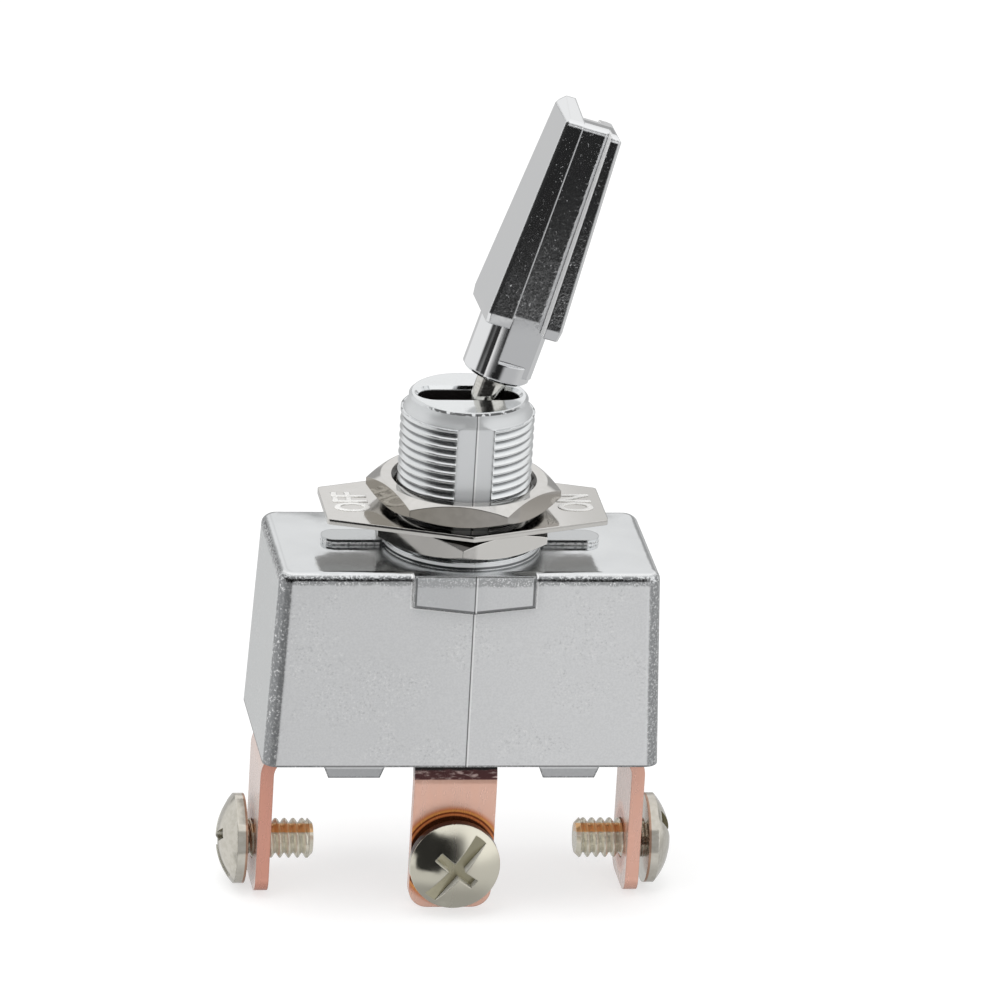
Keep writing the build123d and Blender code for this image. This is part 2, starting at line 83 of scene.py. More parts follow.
# How many millimetres a corner may lie off a cylinder or a plane and still count as on it
NEAR = 0.02

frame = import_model()
cad_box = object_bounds()
cad = frame["nodes"]
scene = bpy.context.scene


# Shader helpers. The dressed materials work in millimetres, and a share goes from 0 to 1.

def node(tree, kind, inputs=None, **settings):
    """A shader node. Each input is a plain value or another node's output."""
    made = tree.nodes.new(kind)
    for key, value in settings.items():
        setattr(made, key, value)
    for key, value in (inputs or {}).items():
        if isinstance(value, bpy.types.NodeSocket):
            tree.links.new(value, made.inputs[key])
        else:
            made.inputs[key].default_value = value
    return made


def maths(tree, operation, first, second=0.0):
    """The result of one Math node."""
    return node(tree, "ShaderNodeMath", {0: first, 1: second}, operation=operation).outputs[0]


def absolute(tree, value):
    """A value without its sign."""
    return maths(tree, "ABSOLUTE", value)


def difference(tree, first, second):
    """One value less another."""
    return maths(tree, "SUBTRACT", first, second)


def inverse(tree, value):
    """One less a value."""
    return difference(tree, 1.0, value)


def folded(tree, operation, values):
    """Several values taken together, two at a time."""
    result = values[0]
    for value in values[1:]:
        result = maths(tree, operation, result, value)
    return result


def product(tree, *values):
    """Several values multiplied."""
    return folded(tree, "MULTIPLY", values)


def total(tree, *values):
    """Several values added."""
    return folded(tree, "ADD", values)


def largest(tree, *values):
    """The largest of several values."""
    return folded(tree, "MAXIMUM", values)


def ramp(tree, value, low, high, start=0.0, end=1.0):
    """A value carried smoothly from one range to another."""
    inputs = {"Value": value, "From Min": low, "From Max": high, "To Min": start, "To Max": end}
    return node(tree, "ShaderNodeMapRange", inputs, interpolation_type="SMOOTHSTEP").outputs["Result"]


def mix(tree, share, first, second):
    """A value between two others."""
    return node(tree, "ShaderNodeMix", {0: share, 2: first, 3: second}).outputs[0]


def blend(tree, share, first, second):
    """A colour between two others."""
    return node(tree, "ShaderNodeMix", {0: share, 6: first, 7: second}, data_type="RGBA").outputs[2]


def linear(red, green, blue):
    """A colour given as it shows on a screen, from 0 to 255, as shader values."""
    def channel(value):
        value /= 255
        return value / 12.92 if value <= 0.04045 else ((value + 0.055) / 1.055) ** 2.4
    return (channel(red), channel(green), channel(blue), 1.0)


def tint(tree, tone, share, red, green, blue):
    """A tone with a screen colour laid over a share of it."""
    return blend(tree, share, tone, linear(red, green, blue))


def band(tree, value, middle, half, soft):
    """One where a value is within half of the middle, and nothing further than soft beyond that."""
    return ramp(tree, absolute(tree, difference(tree, value, middle)), half + soft, half)


def axes(tree, vector):
    """The three parts of a vector."""
    return node(tree, "ShaderNodeSeparateXYZ", {0: vector}).outputs[:3]


def millimetres(tree, place):
    """The three object coordinates in millimetres."""
    scaled = node(tree, "ShaderNodeVectorMath", {0: place, "Scale": 1 / MM}, operation="SCALE")
    return axes(tree, scaled.outputs[0])


def face_normal(tree):
    """The three parts of the surface's own direction."""
    return axes(tree, node(tree, "ShaderNodeNewGeometry").outputs["Normal"])


def ring(tree, across, along, centre=0.0):
    """The distance from an axis, in the plane of two coordinates."""
    off = difference(tree, along, centre)
    return maths(tree, "SQRT", total(tree, product(tree, across, across), product(tree, off, off)))


def noise(tree, place, scale, detail=3.0, rough=0.55):
    """Noise in object space; scale is features to the metre."""
    inputs = {"Vector": place, "Scale": scale, "Detail": detail, "Roughness": rough}
    return node(tree, "ShaderNodeTexNoise", inputs).outputs["Fac"]


def bare_material(name):
    """A material with an empty tree."""
    material = bpy.data.materials.new(name)
    material.use_nodes = True
    material.node_tree.nodes.clear()
    return material, material.node_tree


def new_material(name):
    """A surface material with its tree, its shader and its object coordinates."""
    material, tree = bare_material(name)
    shader = tree.nodes.new("ShaderNodeBsdfPrincipled")
    output = tree.nodes.new("ShaderNodeOutputMaterial")
    tree.links.new(shader.outputs[0], output.inputs[0])
    place = tree.nodes.new("ShaderNodeTexCoord").outputs["Object"]
    return material, tree, shader, place


def worn_normal(tree, shader, height, strength, distance, edge=0.0):
    """Bump from a height, on a normal that is rounded at the edges."""
    inputs = {"Strength": strength, "Distance": distance, "Height": height}
    if edge:
        inputs["Normal"] = node(tree, "ShaderNodeBevel", {"Radius": edge}, samples=6).outputs[0]
    bump = node(tree, "ShaderNodeBump", inputs)
    tree.links.new(bump.outputs[0], shader.inputs["Normal"])


def metal(name, light, dark, roughness, spread=0.08, metallic=1.0, grain=2500.0, stretch=(1.0, 1.0, 1.0)):
    """A plated or bare metal: two close tones, uneven gloss and a fine surface grain."""
    material, tree, shader, place = new_material(name)
    along = node(tree, "ShaderNodeMapping", {"Vector": place, "Scale": stretch}).outputs[0]
    fine = noise(tree, along, grain, 4.0)
    broad = noise(tree, place, 260.0, 2.0)
    tone = ramp(tree, total(tree, product(tree, fine, 0.5), product(tree, broad, 0.5)), 0.35, 0.65)
    tree.links.new(blend(tree, tone, dark, light), shader.inputs["Base Color"])
    shader.inputs["Metallic"].default_value = metallic
    gloss = ramp(tree, fine, 0.3, 0.7, roughness - spread, roughness + spread)
    tree.links.new(gloss, shader.inputs["Roughness"])
    worn_normal(tree, shader, fine, 0.15, 0.02 * MM, 0.12 * MM)
    return material


def plastic(name, light, dark, roughness):
    """A matt non-metal: board, moulding or paper."""
    spread = 0.08
    material, tree, shader, place = new_material(name)
    fine = noise(tree, place, 1500.0, 4.0)
    tree.links.new(blend(tree, ramp(tree, fine, 0.3, 0.7), dark, light), shader.inputs["Base Color"])
    gloss = ramp(tree, fine, 0.3, 0.7, roughness - spread, roughness + spread)
    tree.links.new(gloss, shader.inputs["Roughness"])
    worn_normal(tree, shader, fine, 0.3, 0.05 * MM)
    return material


def casting():
    """Plated zinc casting: satin walls, and bright plate on the edges, the top face and the bushing."""
    material, tree, shader, place = new_material("zinc_casting")
    x, y, z = millimetres(tree, place)
    rounded = node(tree, "ShaderNodeBevel", {"Radius": 0.3 * MM}, samples=8).outputs[0]
    across, forward, up = axes(tree, rounded)
    upright = largest(tree, absolute(tree, across), absolute(tree, forward))
    flat_wall = ramp(tree, upright, 0.95, 0.993)
    body = ramp(tree, z, 0.0, -0.3)
    wall = product(tree, body, flat_wall)
    edge = product(tree, body, inverse(tree, flat_wall), ramp(tree, up, 0.97, 0.85))
    speck = noise(tree, place, 4200.0, 3.0, 0.6)
    cloud = noise(tree, place, 140.0, 2.0)
    wrinkled = ramp(tree, noise(tree, place, 190.0, 3.0), 0.44, 0.60)
    radius = ring(tree, x, y)

    # Broad tones of the top face, the bushing and the walls, with painted shade on the walls: darker towards
    # -X, and darker again where they face left
    top_tone = blend(tree, ramp(tree, cloud, 0.3, 0.7), linear(218, 220, 221), linear(226, 228, 229))
    top_tone = tint(tree, top_tone, ramp(tree, z, 0.65, 0.72), 237, 239, 240)
    wall_tone_and_shade = blend(tree, ramp(tree, x, -9.0, 9.0), linear(223, 224, 225), linear(231, 232, 233))
    wall_tone_and_shade = tint(tree, wall_tone_and_shade, ramp(tree, across, -0.5, -0.8), 211, 213, 213)
    tone = blend(tree, wall, top_tone, wall_tone_and_shade)

    # Rounded edges and corners, worn and speckled, with painted shade on the lower corners, heavier at the left
    low_edge = product(tree, edge, ramp(tree, up, 0.82, 0.6))
    corner = product(tree, low_edge, ramp(tree, up, 0.2, 0.05))
    shaded_left_corner = product(tree, corner, ramp(tree, x, -12.0, -13.0))
    tone = tint(tree, tone, product(tree, shaded_left_corner, 0.7), 120, 122, 124)
    shaded_right_corner = product(tree, corner, ramp(tree, x, 12.0, 13.0))
    tone = tint(tree, tone, product(tree, shaded_right_corner, 0.45), 150, 152, 154)
    specks = product(tree, low_edge, ramp(tree, speck, 0.58, 0.46), mix(tree, corner, 0.75, 0.35))
    tone = tint(tree, tone, specks, 74, 75, 77)
    # Painted shade and painted glints in a ragged band just under the top edge of the walls
    ragged = total(tree, z, product(tree, noise(tree, place, 900.0, 2.0), 0.6))
    close = band(tree, ragged, -0.25, 0.35, 0.25)
    glitter = noise(tree, place, 6500.0, 2.0)
    shade_under_edge = product(tree, wall, close, ramp(tree, glitter, 0.62, 0.50), 0.55)
    tone = tint(tree, tone, shade_under_edge, 84, 86, 88)
    tone = tint(tree, tone, product(tree, wall, close, ramp(tree, glitter, 0.58, 0.66), 0.8), 254, 254, 254)

    # The cast skin of the walls, their foot and the lugs
    grain = noise(tree, place, 5200.0, 2.0)
    tone = tint(tree, tone, product(tree, wall, ramp(tree, grain, 0.3, 0.7), 0.12), 150, 152, 154)
    tone = tint(tree, tone, product(tree, wall, wrinkled, ramp(tree, speck, 0.56, 0.68), 0.5), 250, 250, 250)
    tone = tint(tree, tone, product(tree, wall, wrinkled, ramp(tree, speck, 0.44, 0.32), 0.3), 150, 152, 154)
    lug = ramp(tree, z, HOUSING_FOOT - 0.05, HOUSING_FOOT - 0.2)
    tone = tint(tree, tone, product(tree, lug, 0.55), 128, 130, 133)
    foot = band(tree, z, HOUSING_FOOT + 0.08, 0.05, 0.06)
    tone = tint(tree, tone, product(tree, foot, wall, 0.7), 70, 71, 72)

    # The shield on the front wall, its face darker as painted shade, most at its left, with painted shade in
    # the groove and a painted highlight on the lip round it
    pad_half, pad_middle, pad_point, pad_rise = 5.45, 0.3, 3.6, 0.11
    off_middle = absolute(tree, difference(tree, x, pad_middle))
    from_side = difference(tree, pad_half, off_middle)
    from_foot = difference(tree, total(tree, z, pad_point), product(tree, off_middle, pad_rise))
    inside = maths(tree, "MINIMUM", from_side, from_foot)
    in_front = product(tree, body, ramp(tree, y, -7.0, -7.4))
    sunk = mix(tree, ramp(tree, x, -1.0, 2.0), 0.5, 0.18)
    tone = tint(tree, tone, product(tree, in_front, wall, ramp(tree, inside, 0.2, 0.3), sunk), 182, 184, 186)
    groove = product(tree, in_front, band(tree, inside, 0.2, 0.06, 0.08))
    lip = product(tree, in_front, band(tree, inside, -0.1, 0.07, 0.08))
    tone = tint(tree, tone, product(tree, groove, 0.8), 80, 82, 83)
    tone = tint(tree, tone, product(tree, lip, 0.9), 254, 254, 254)

    # The mould's parting line: painted shade in its groove, with a painted highlight along one side
    seam_place = total(tree, 0.05, product(tree, ramp(tree, z, 0.9, 0.6), 0.28))
    off_seam = difference(tree, x, seam_place)
    on_seam = product(tree, ramp(tree, absolute(tree, y), 5.0, 5.2), ramp(tree, up, 0.75, 0.55))
    seam = product(tree, on_seam, band(tree, off_seam, 0.0, 0.03, 0.05))
    shine = product(tree, on_seam, band(tree, off_seam, 0.14, 0.03, 0.06))
    tone = tint(tree, tone, product(tree, seam, 0.8), 70, 70, 72)
    tone = tint(tree, tone, product(tree, shine, 0.8), 254, 254, 254)

    # The bushing's bore, painted dark as shade, and a broken dark line on the rim's front, a painted reflection
    bore = product(tree, ramp(tree, radius, 4.75, 4.6), ramp(tree, z, 13.85, 13.7), inverse(tree, body))
    tone = tint(tree, tone, bore, 34, 31, 30)
    rim = product(tree, ramp(tree, radius, 5.0, 5.06), band(tree, z, 13.93, 0.07, 0.04),
                  ramp(tree, y, -2.5, -4.0), ramp(tree, noise(tree, place, 2300.0, 2.0), 0.60, 0.50))
    tone = tint(tree, tone, product(tree, rim, 0.9), 24, 24, 25)

    # The boss on the top face: a painted highlight on its upper half and painted shade at its foot, darkest at
    # the left
    above_top = ramp(tree, z, 0.01, 0.03)
    boss = product(tree, above_top, ramp(tree, z, 0.62, 0.55), ramp(tree, up, 0.5, 0.3),
                   band(tree, radius, BOSS_RADIUS, 0.1, 0.05))
    shaded_boss_foot = blend(tree, ramp(tree, x, -1.0, 2.0), linear(40, 42, 44), linear(120, 122, 124))
    tone = blend(tree, boss, tone, blend(tree, ramp(tree, z, 0.26, 0.34), shaded_boss_foot, linear(246, 247, 248)))

    # Painted shade on the thread under the upper nut and in the thread's grooves; the rail's top; painted
    # glints along the rail's foot
    gap_shade = product(tree, inverse(tree, body), band(tree, z, 3.9, 0.22, 0.04))
    tone = tint(tree, tone, gap_shade, 22, 21, 20)
    groove_shade = product(tree, inverse(tree, body), ramp(tree, z, 0.8, 0.9),
                           ramp(tree, z, THREAD_TOP + 0.1, THREAD_TOP), ramp(tree, radius, 5.74, 5.62),
                           ramp(tree, absolute(tree, x), 1.7, 1.9))
    tone = tint(tree, tone, product(tree, groove_shade, 0.75), 104, 106, 108)
    rail_top = product(tree, band(tree, z, 0.5, 0.03, 0.03), ramp(tree, radius, 7.3, 7.5))
    tone = tint(tree, tone, rail_top, 198, 200, 201)
    rail_foot = product(tree, above_top, ramp(tree, z, 0.30, 0.26), ramp(tree, up, 0.5, 0.3),
                        ramp(tree, radius, 7.3, 7.5))
    tone = blend(tree, rail_foot, tone, blend(tree, ramp(tree, speck, 0.40, 0.50), linear(170, 172, 174),
                                              linear(252, 252, 252)))

    # The thread's flat, the collar, painted highlight lines along the top edges that face forward, and painted
    # glints on the corners
    bare_flat = product(tree, inverse(tree, body), ramp(tree, forward, -0.96, -0.99), ramp(tree, z, 0.7, 0.8),
                        ramp(tree, z, THREAD_TOP + 0.1, THREAD_TOP), band(tree, x, 0.0, 1.6, 0.1))
    collar = product(tree, ramp(tree, radius, 4.9, 5.0), ramp(tree, z, 12.55, 12.75),
                     ramp(tree, up, 0.9, 0.8))
    marked = inverse(tree, largest(tree, rim, seam, shine))
    tone = tint(tree, tone, product(tree, collar, marked, 0.55), 186, 188, 189)
    tone = tint(tree, tone, product(tree, bare_flat, marked, 0.6), 216, 218, 220)
    edge_highlight = product(tree, edge, band(tree, up, 0.88, 0.05, 0.05), ramp(tree, forward, 0.0, -0.2),
                    ramp(tree, noise(tree, place, 500.0, 2.0), 0.38, 0.46))
    tone = tint(tree, tone, edge_highlight, 255, 255, 255)
    tone = tint(tree, tone, product(tree, corner, ramp(tree, speck, 0.58, 0.68), 0.8), 250, 250, 250)
    tree.links.new(tone, shader.inputs["Base Color"])

    # Gloss and relief
    dull = largest(tree, wall, bore, boss, rail_foot, bare_flat, rim, gap_shade, product(tree, edge_highlight, 0.9),
                   product(tree, collar, 0.75), product(tree, shaded_left_corner, 0.75))
    threaded = product(tree, ramp(tree, z, 0.7, 0.8), ramp(tree, z, 13.8, 13.6), ramp(tree, radius, 4.9, 5.1))
    tree.links.new(mix(tree, dull, 1.0, 0.42), shader.inputs["Metallic"])
    gloss = mix(tree, edge, ramp(tree, speck, 0.3, 0.7, 0.08, 0.15), 0.2)
    near_boss = product(tree, ramp(tree, radius, 10.0, 8.0), ramp(tree, z, 0.06, 0.03),
                        ramp(tree, up, 0.9, 0.97))
    gloss = mix(tree, near_boss, gloss, 0.27)
    gloss = mix(tree, threaded, gloss, 0.25)
    tree.links.new(mix(tree, dull, gloss, 0.36), shader.inputs["Roughness"])
    amount = total(tree, product(tree, low_edge, 1.6), product(tree, wall, wrinkled, 0.9))
    height = product(tree, speck, total(tree, amount, 0.05))
    height = total(tree, height, product(tree, noise(tree, place, 500.0, 1.0), inverse(tree, wall), 1.2))
    height = difference(tree, height, product(tree, largest(tree, seam, groove), 2.0))
    worn_normal(tree, shader, height, 0.45, 0.03 * MM, 0.10 * MM)
    return material


def chrome():
    """Bright chrome plate on a casting: slightly wavy, smooth on its sides and pitted on its front and back."""
    material, tree, shader, place = new_material("chrome_plate")
    x, _, z = millimetres(tree, place)
    normal = face_normal(tree)
    front = ramp(tree, absolute(tree, normal[1]), 0.85, 0.97)
    up_lever = product(tree, difference(tree, z, PIVOT_HEIGHT), math.sin(LEVER_TILT))
    off_axis = difference(tree, product(tree, x, math.cos(LEVER_TILT)), up_lever)
    inner_wall = product(tree, ramp(tree, normal[0], -0.6, -0.75), ramp(tree, off_axis, 0.2, 0.6))
    low = product(tree, front, ramp(tree, z, 38.0, 21.0))
    wave = noise(tree, place, 130.0, 1.0)
    pits = noise(tree, place, 2400.0, 3.0)
    speckle = noise(tree, place, 5200.0, 2.0)
    long = node(tree, "ShaderNodeMapping", {"Vector": place, "Rotation": (0.0, -LEVER_TILT, 0.0),
                                            "Scale": (1.0, 1.0, 0.3)}).outputs[0]
    scratch = noise(tree, long, 1100.0, 3.0)
    tone = blend(tree, ramp(tree, pits, 0.3, 0.7), linear(230, 231, 233), linear(240, 241, 242))
    tone = blend(tree, front, linear(238, 239, 240), tone)
    tone = tint(tree, tone, product(tree, front, ramp(tree, z, 22.3, 21.8)), 220, 221, 223)
    flash = product(tree, front, ramp(tree, z, 20.0, 22.0), ramp(tree, speckle, 0.66, 0.74), 0.5)
    neck_light = product(tree, ramp(tree, z, 22.3, 22.0), ramp(tree, z, 16.4, 16.7), inverse(tree, front),
                         band(tree, off_axis, -1.1, 0.35, 0.1), ramp(tree, normal[1], 0.0, -0.3))
    # Painted light: the right rib's left-facing inner wall and a strip down the neck are white and barely metal
    lit = largest(tree, inner_wall, neck_light)
    tone = tint(tree, tone, lit, 252, 252, 252)
    tree.links.new(tone, shader.inputs["Base Color"])
    tree.links.new(mix(tree, largest(tree, lit, flash), 1.0, 0.1), shader.inputs["Metallic"])
    haze = product(tree, low, ramp(tree, z, 20.0, 22.0), ramp(tree, speckle, 0.35, 0.7, 0.6, 1.5), 0.065)
    tree.links.new(total(tree, haze, 0.06), shader.inputs["Roughness"])
    on_paddle = product(tree, front, ramp(tree, z, 19.5, 21.5))
    rough_cast = total(tree, 0.3, product(tree, ramp(tree, off_axis, 0.9, 1.6), 1.0))
    height = total(tree, product(tree, wave, 4.5), product(tree, pits, on_paddle, rough_cast))
    height = total(tree, height, product(tree, scratch, on_paddle, 0.3))
    worn_normal(tree, shader, height, 0.35, 0.03 * MM, 0.2 * MM)
    return material


def copper():
    """Bare copper strip: pink and satin with random stains, with painted shade and glints at the bend and
    painted reflections, highlights and shade round each screw.
    """
    material, tree, shader, place = new_material("copper_strip")
    x, y, z = millimetres(tree, place)
    rolled = node(tree, "ShaderNodeMapping", {"Vector": place, "Scale": (1.0, 1.0, 0.3)}).outputs[0]
    fine = noise(tree, rolled, 1500.0, 3.0)
    stain = noise(tree, place, 480.0, 4.0, 0.6)
    drawn = node(tree, "ShaderNodeMapping", {"Vector": place, "Rotation": (0.0, math.radians(18), 0.0),
                                             "Scale": (0.35, 1.0, 1.2)}).outputs[0]
    spark = noise(tree, drawn, 3000.0, 3.0)
    tone = blend(tree, ramp(tree, fine, 0.3, 0.7), linear(250, 200, 179), linear(252, 206, 187))
    tone = tint(tree, tone, ramp(tree, stain, 0.74, 0.84, 0.0, 0.25), 170, 104, 74)
    middle = ramp(tree, absolute(tree, x), 6.0, 5.0)
    round_side = ring(tree, y, z, SIDE_SCREW_HEIGHT)
    round_middle = ring(tree, x, z, MIDDLE_SCREW_HEIGHT)
    normal = face_normal(tree)
    broad = ramp(tree, absolute(tree, normal[0]), 0.8, 0.95)
    # Painted reflections, highlight and shade round the screws: an orange glow near each, and on the middle
    # strip a bright arc, a dark arc and a shadow under the head
    side_ring_reflection = product(tree, inverse(tree, middle), broad, ramp(tree, round_side, 2.9, 2.5), 0.7)
    tone = tint(tree, tone, side_ring_reflection, 196, 108, 58)
    middle_front = product(tree, middle, ramp(tree, normal[1], -0.4, -0.7))
    halo_reflection = product(tree, middle_front, ramp(tree, round_middle, 5.0, 4.45, 0.0, 0.9))
    tone = tint(tree, tone, halo_reflection, 232, 132, 62)
    highlight_arc = product(tree, middle_front, band(tree, round_middle, 4.42, 0.05, 0.08), 0.8)
    tone = tint(tree, tone, highlight_arc, 252, 176, 96)
    shadow_arc = product(tree, middle_front, band(tree, round_middle, 4.22, 0.05, 0.06), 0.85)
    tone = tint(tree, tone, shadow_arc, 110, 48, 18)
    shadow_under_head = product(tree, middle_front, ramp(tree, round_middle, 4.02, 3.85, 0.0, 0.95))
    tone = tint(tree, tone, shadow_under_head, 50, 18, 8)
    # Painted shade with painted glints in a band across the middle strip's bend, near black where it meets the
    # housing
    bend = product(tree, middle, band(tree, z, -19.35, 1.1, 0.12))
    tone = blend(tree, bend, tone, blend(tree, ramp(tree, spark, 0.50, 0.72), linear(104, 68, 68),
                                         linear(232, 204, 198)))
    shadowed = ramp(tree, total(tree, z, product(tree, spark, 0.5)), -19.5, -19.35)
    tone = tint(tree, tone, product(tree, middle, shadowed), 30, 20, 20)
    # The side strips' edges painted darker as shade, most on the left strip
    strip_edge = product(tree, inverse(tree, middle), inverse(tree, broad))
    tone = tint(tree, tone, product(tree, strip_edge, ramp(tree, x, -1.0, 1.0, 0.75, 0.3)), 212, 142, 122)
    outer = product(tree, inverse(tree, middle), broad, 0.8)
    tone = tint(tree, tone, product(tree, outer, ramp(tree, round_side, 3.0, 3.6)), 244, 226, 218)
    tree.links.new(tone, shader.inputs["Base Color"])
    shader.inputs["Metallic"].default_value = 0.4
    shader.inputs["Coat Weight"].default_value = 0.5
    shader.inputs["Coat Roughness"].default_value = 0.2
    tree.links.new(ramp(tree, fine, 0.3, 0.7, 0.20, 0.30), shader.inputs["Roughness"])
    worn_normal(tree, shader, fine, 0.03, 0.02 * MM, 0.2 * MM)
    return material


def nut_steel():
    """Plated steel of the nuts and the plate: neutral and bright, with painted shade on the undersides,
    chamfers, facets and the plate's right end.
    """
    material, tree, shader, place = new_material("plated_steel")
    x, y, z = millimetres(tree, place)
    up = face_normal(tree)[2]
    fine = noise(tree, place, 1500.0, 4.0)
    broad = noise(tree, place, 200.0, 1.0)
    tone = blend(tree, ramp(tree, fine, 0.3, 0.7), linear(215, 213, 209), linear(220, 218, 215))
    upright = ramp(tree, absolute(tree, up), 0.3, 0.15)
    # Painted shade and light across the nuts' facets: darker at the left, and on the lower nut lighter at the
    # right
    facet = product(tree, upright, ramp(tree, z, 3.7, 3.9))
    facet_shading = blend(tree, ramp(tree, total(tree, x, product(tree, broad, 4.0)), -4.0, 6.0),
                 linear(164, 159, 150), linear(184, 180, 175))
    tone = blend(tree, facet, tone, facet_shading)
    low_facet = product(tree, upright, ramp(tree, z, 3.1, 3.0))
    tone = tint(tree, tone, product(tree, low_facet, ramp(tree, x, 0.5, -4.0), 0.5), 178, 175, 170)
    tone = tint(tree, tone, product(tree, low_facet, ramp(tree, x, 0.0, 0.5)), 240, 238, 234)
    below = ramp(tree, up, -0.5, -0.8)
    # Painted shade on the right end of the plate's top face
    shaded_right_end = product(tree, ramp(tree, up, 0.9, 0.95), ramp(tree, x, 7.0, 12.0), ramp(tree, z, 3.8, 3.7))
    tone = tint(tree, tone, product(tree, shaded_right_end, 0.7), 188, 186, 182)
    sheet = band(tree, z, 3.4, 0.27, 0.02)
    tone = tint(tree, tone, product(tree, below, sheet), 176, 174, 171)
    radius = ring(tree, x, y)
    # Painted shade: the nuts' undersides near black, and dark chamfers under the plate and at the upper nut's
    # mouth round the thread
    shaded_underside = product(tree, below, inverse(tree, sheet), ramp(tree, radius, 7.7, 6.9))
    tone = tint(tree, tone, shaded_underside, 34, 31, 28)
    slope = product(tree, ramp(tree, up, 0.25, 0.35), ramp(tree, up, 0.97, 0.94))
    shade_under_plate = product(tree, slope, ramp(tree, z, 3.2, 3.1))
    tone = tint(tree, tone, product(tree, shade_under_plate, 0.85), 36, 33, 31)
    shade_at_mouth = product(tree, slope, ramp(tree, z, 5.4, 5.6), ramp(tree, radius, 6.9, 6.6))
    tone = tint(tree, tone, product(tree, shade_at_mouth, 0.8), 52, 50, 48)
    sheared = product(tree, sheet, ramp(tree, absolute(tree, up), 0.4, 0.2), ramp(tree, z, 3.46, 3.42))
    tone = tint(tree, tone, sheared, 206, 204, 200)
    tree.links.new(tone, shader.inputs["Base Color"])
    tree.links.new(mix(tree, sheared, 1.0, 0.3), shader.inputs["Metallic"])
    tree.links.new(ramp(tree, fine, 0.3, 0.7, 0.07, 0.12), shader.inputs["Roughness"])
    height = total(tree, product(tree, fine, 0.12), product(tree, broad, 1.2))
    worn_normal(tree, shader, height, 0.2, 0.02 * MM, 0.12 * MM)
    return material


def screw_nickel():
    """Nickel plate of the screws: yellowish, with a painted reflection of the copper along the top of each
    shank, and painted light and shade on the middle head and in the slots.
    """
    material, tree, shader, place = new_material("nickel_screw")
    across, y, z = millimetres(tree, place)
    x = absolute(tree, across)
    normal = face_normal(tree)
    up = normal[2]
    fine = noise(tree, place, 1900.0, 4.0)
    tone = blend(tree, ramp(tree, fine, 0.35, 0.65), linear(205, 201, 190), linear(216, 212, 202))
    inner = ramp(tree, x, 17.6, 17.3)
    middle = ramp(tree, x, 6.0, 5.0)
    round_middle = ring(tree, across, z, MIDDLE_SCREW_HEIGHT)
    round_side = ring(tree, y, z, SIDE_SCREW_HEIGHT)
    in_cross = ramp(tree, round_middle, 3.95, 3.85)
    tone = tint(tree, tone, inner, 230, 226, 210)
    # A painted reflection of the copper strip: an orange band along the top of each shank
    slant = total(tree, product(tree, difference(tree, z, SIDE_SCREW_HEIGHT), 0.934), product(tree, y, 0.357))
    shank = product(tree, inner, ramp(tree, x, 9.0, 10.0), ramp(tree, y, 0.9, 0.7),
                    band(tree, slant, 0.93, 0.36, 0.06))
    tone = tint(tree, tone, product(tree, shank, 0.85), 240, 184, 116)
    # Painted shade on the up-facing rim of the middle head
    shaded_head_rim = product(tree, middle, ramp(tree, absolute(tree, normal[1]), 0.4, 0.25),
                       ramp(tree, up, 0.15, 0.35), ramp(tree, round_middle, 3.8, 3.9))
    tone = tint(tree, tone, shaded_head_rim, 60, 30, 16)
    middle_wall = product(tree, middle, ramp(tree, y, -7.9, -8.1), in_cross,
                          ramp(tree, absolute(tree, normal[1]), 0.75, 0.6))
    side_wall = product(tree, ramp(tree, x, 19.0, 19.2), ramp(tree, round_side, 3.95, 3.85),
                        ramp(tree, absolute(tree, normal[0]), 0.45, 0.3))
    slot_wall = largest(tree, middle_wall, side_wall)
    # Painted shade on the slot floors; the slot walls painted light where they face up and dark where they face
    # down
    slot_floor = product(tree, middle, ramp(tree, normal[1], -0.99, -0.997), in_cross)
    tone = tint(tree, tone, product(tree, slot_floor, 0.8), 186, 180, 150)
    tone = blend(tree, slot_wall, tone, blend(tree, ramp(tree, up, -0.2, 0.4), linear(120, 112, 84),
                                              linear(232, 230, 220)))
    brown_rim = product(tree, ramp(tree, absolute(tree, normal[0]), 0.3, 0.15),
                        band(tree, x, 18.18, 0.1, 0.05), 0.75)
    tone = tint(tree, tone, brown_rim, 166, 112, 76)
    tree.links.new(tone, shader.inputs["Base Color"])
    shanks = product(tree, inner, ramp(tree, x, 9.0, 10.0))
    plated = mix(tree, slot_wall, mix(tree, shanks, 1.0, 0.5), 0.25)
    side_rim = product(tree, ramp(tree, x, 18.0, 18.1), ramp(tree, absolute(tree, normal[0]), 0.3, 0.15))
    tree.links.new(mix(tree, side_rim, plated, 0.5), shader.inputs["Metallic"])
    gloss = ramp(tree, fine, 0.3, 0.7, 0.08, 0.15)
    blurred = product(tree, middle, ramp(tree, across, -2.6, 0.6))
    tree.links.new(mix(tree, blurred, gloss, 0.3), shader.inputs["Roughness"])
    worn_normal(tree, shader, fine, 0.12, 0.02 * MM, 0.14 * MM)
    return material


finishes = {
    "zinc_casting": casting(),
    "chrome_plate": chrome(),
    "copper_strip": copper(),
    "plated_steel": nut_steel(),
    "turned_steel": metal("turned_steel", linear(222, 221, 216), linear(200, 198, 192), 0.12, 0.05,
                          grain=2200.0, stretch=(1.0, 1.0, 3.0)),
    "nickel_screw": screw_nickel(),
    "brass_part": metal("brass_part", linear(214, 180, 110), linear(186, 150, 84), 0.28),
    "silver_contact": metal("silver_contact", linear(228, 226, 220), linear(196, 192, 184), 0.3),
    "spring_wire": metal("spring_wire", linear(190, 190, 192), linear(140, 140, 144), 0.25),
    "phenolic_board": plastic("phenolic_board", linear(74, 52, 42), linear(48, 32, 26), 0.45),
    "fish_paper": plastic("fish_paper", linear(92, 88, 84), linear(62, 58, 56), 0.7),
}

for solid in cad.values():
    for slot in solid.material_slots:
        slot.material = finishes[slot.material.name.split(".")[0]]


